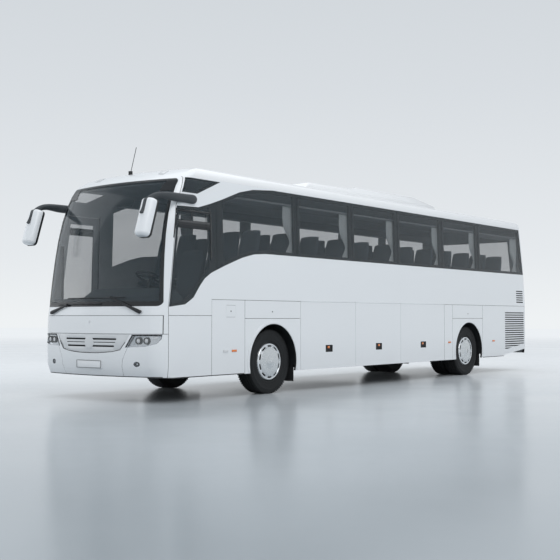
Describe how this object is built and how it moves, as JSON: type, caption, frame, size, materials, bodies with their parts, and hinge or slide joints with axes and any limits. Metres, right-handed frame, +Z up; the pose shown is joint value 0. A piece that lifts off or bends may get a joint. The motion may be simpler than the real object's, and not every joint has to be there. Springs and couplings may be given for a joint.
{
  "type": "touring coach",
  "caption": "Long-distance passenger coach with bowed windscreen, bonded side glass, luggage flaps, swinging front door, rear engine lid and steered front wheels.",
  "frame": {"origin": "on the ground, under the middle of the overall box", "axes": "+Z up, the coach faces -Y, its left side is +X"},
  "size_m": [2.708, 12.546, 3.8613],
  "materials": {
    "body_white": "gloss paint over clear coat",
    "tinted_glass": "bonded, lightly tinted, polished",
    "grille_dark": "dark moulding with bright bars",
    "lamp_clear": "clear lens over bright reflectors",
    "lamp_red": "red and amber lens",
    "lamp_amber": "amber lens",
    "black_rubber": "moulded rubber",
    "black_plastic": "fine grain",
    "frame_steel": "satin chassis black",
    "engine_iron": "painted casting",
    "chrome": "polished",
    "tyre": "moulded rubber with road tread",
    "floor_grey": "sheet flooring",
    "seat_fabric": "woven seat cloth",
    "trim_grey": "grained moulding"
  },
  "bodies": {
    "root": {"aerial": "black_plastic", "air_conditioner": "body_white", "arch_panels": "body_white", "cab_floor": "floor_grey", "dashboard": "trim_grey", "engine": "engine_iron", "front_axle": "frame_steel", "front_bumper": "body_white", "grille": "grille_dark", "head_lamps": "lamp_clear", "luggage_bays": "frame_steel", "luggage_racks": "trim_grey", "marker_lamps": "lamp_amber", "mirrors": "body_white", "mud_flaps": "black_rubber", "nose_panel": "body_white", "rear_axle": "frame_steel", "rear_bumper": "body_white", "rear_wall": "body_white", "rear_window": "tinted_glass", "roof": "body_white", "saloon_floor": "floor_grey", "seat_backs": "seat_fabric", "seat_cushions": "seat_fabric", "seat_frames": "trim_grey", "side_wall_left": "body_white", "side_wall_right": "body_white", "side_windows": "tinted_glass", "skirt_panels": "body_white", "steering_wheel": "black_plastic", "tail_lamps": "lamp_red", "underframe": "frame_steel", "wheel_housings": "black_plastic", "windscreen": "tinted_glass", "windscreen_frame": "body_white", "wipers": "black_plastic"},
    "knuckle_left": {"front_knuckle_left": "frame_steel"},
    "knuckle_right": {"front_knuckle_right": "frame_steel"},
    "steered_wheel_left": {"front_wheel_left": "chrome", "front_tyre_left": "tyre"},
    "steered_wheel_right": {"front_wheel_right": "chrome", "front_tyre_right": "tyre"},
    "twin_wheels_left": {"drive_wheels_left": "chrome", "drive_tyres_left": "tyre"},
    "twin_wheels_right": {"drive_wheels_right": "chrome", "drive_tyres_right": "tyre"},
    "door_arm": {"front_door_arm": "frame_steel"},
    "door_leaf": {"front_door": "body_white", "front_door_glass": "tinted_glass"},
    "lid": {"engine_lid": "body_white"},
    "flap_left_1": {"luggage_flap_left_1": "body_white"},
    "flap_left_2": {"luggage_flap_left_2": "body_white"},
    "flap_left_3": {"luggage_flap_left_3": "body_white"},
    "flap_right_1": {"luggage_flap_right_1": "body_white"},
    "flap_right_2": {"luggage_flap_right_2": "body_white"},
    "flap_right_3": {"luggage_flap_right_3": "body_white"}
  },
  "joints": [
    {"name": "steer_left", "type": "hinge", "parent": "root", "child": "knuckle_left", "pos_m": [0.9525, -3.323, 0.512], "axis": [0, 0, 1], "range_deg": [-45, 45]},
    {"name": "spin_front_left", "type": "hinge", "parent": "knuckle_left", "child": "steered_wheel_left", "pos_m": [1.0525, -3.323, 0.512], "axis": [1, 0, 0], "continuous": true},
    {"name": "spin_rear_left", "type": "hinge", "parent": "root", "child": "twin_wheels_left", "pos_m": [1.0525, 3.357, 0.512], "axis": [1, 0, 0], "continuous": true},
    {"name": "steer_right", "type": "hinge", "parent": "root", "child": "knuckle_right", "pos_m": [-0.9525, -3.323, 0.512], "axis": [0, 0, 1], "range_deg": [-45, 45]},
    {"name": "spin_front_right", "type": "hinge", "parent": "knuckle_right", "child": "steered_wheel_right", "pos_m": [-1.0525, -3.323, 0.512], "axis": [1, 0, 0], "continuous": true},
    {"name": "spin_rear_right", "type": "hinge", "parent": "root", "child": "twin_wheels_right", "pos_m": [-1.0525, 3.357, 0.512], "axis": [1, 0, 0], "continuous": true},
    {"name": "open_flap_left_1", "type": "hinge", "parent": "root", "child": "flap_left_1", "pos_m": [1.275, -1.7885, 1.485], "axis": [0, -1, 0], "range_deg": [0, 95]},
    {"name": "open_flap_left_2", "type": "hinge", "parent": "root", "child": "flap_left_2", "pos_m": [1.275, -0.1995, 1.485], "axis": [0, -1, 0], "range_deg": [0, 95]},
    {"name": "open_flap_left_3", "type": "hinge", "parent": "root", "child": "flap_left_3", "pos_m": [1.275, 1.4275, 1.485], "axis": [0, -1, 0], "range_deg": [0, 95]},
    {"name": "open_flap_right_1", "type": "hinge", "parent": "root", "child": "flap_right_1", "pos_m": [-1.275, -1.7885, 1.485], "axis": [0, 1, 0], "range_deg": [0, 95]},
    {"name": "open_flap_right_2", "type": "hinge", "parent": "root", "child": "flap_right_2", "pos_m": [-1.275, -0.1995, 1.485], "axis": [0, 1, 0], "range_deg": [0, 95]},
    {"name": "open_flap_right_3", "type": "hinge", "parent": "root", "child": "flap_right_3", "pos_m": [-1.275, 1.4275, 1.485], "axis": [0, 1, 0], "range_deg": [0, 95]},
    {"name": "open_door", "type": "hinge", "parent": "root", "child": "door_arm", "pos_m": [-1.13, -5.613, 1], "axis": [0, 0, 1], "range_deg": [0, 90]},
    {"name": "door_leaf_pivot", "type": "hinge", "parent": "door_arm", "child": "door_leaf", "pos_m": [-1.13, -5.133, 1], "axis": [0, 0, 1], "range_deg": [-90, 0]},
    {"name": "open_lid", "type": "hinge", "parent": "root", "child": "lid", "pos_m": [0, 6.267, 1.75], "axis": [1, 0, 0], "range_deg": [0, 85]}
  ],
  "couplings": [
    {"joint": "steer_right", "follows": "steer_left", "ratio": 1},
    {"joint": "door_leaf_pivot", "follows": "open_door", "ratio": -1}
  ]
}
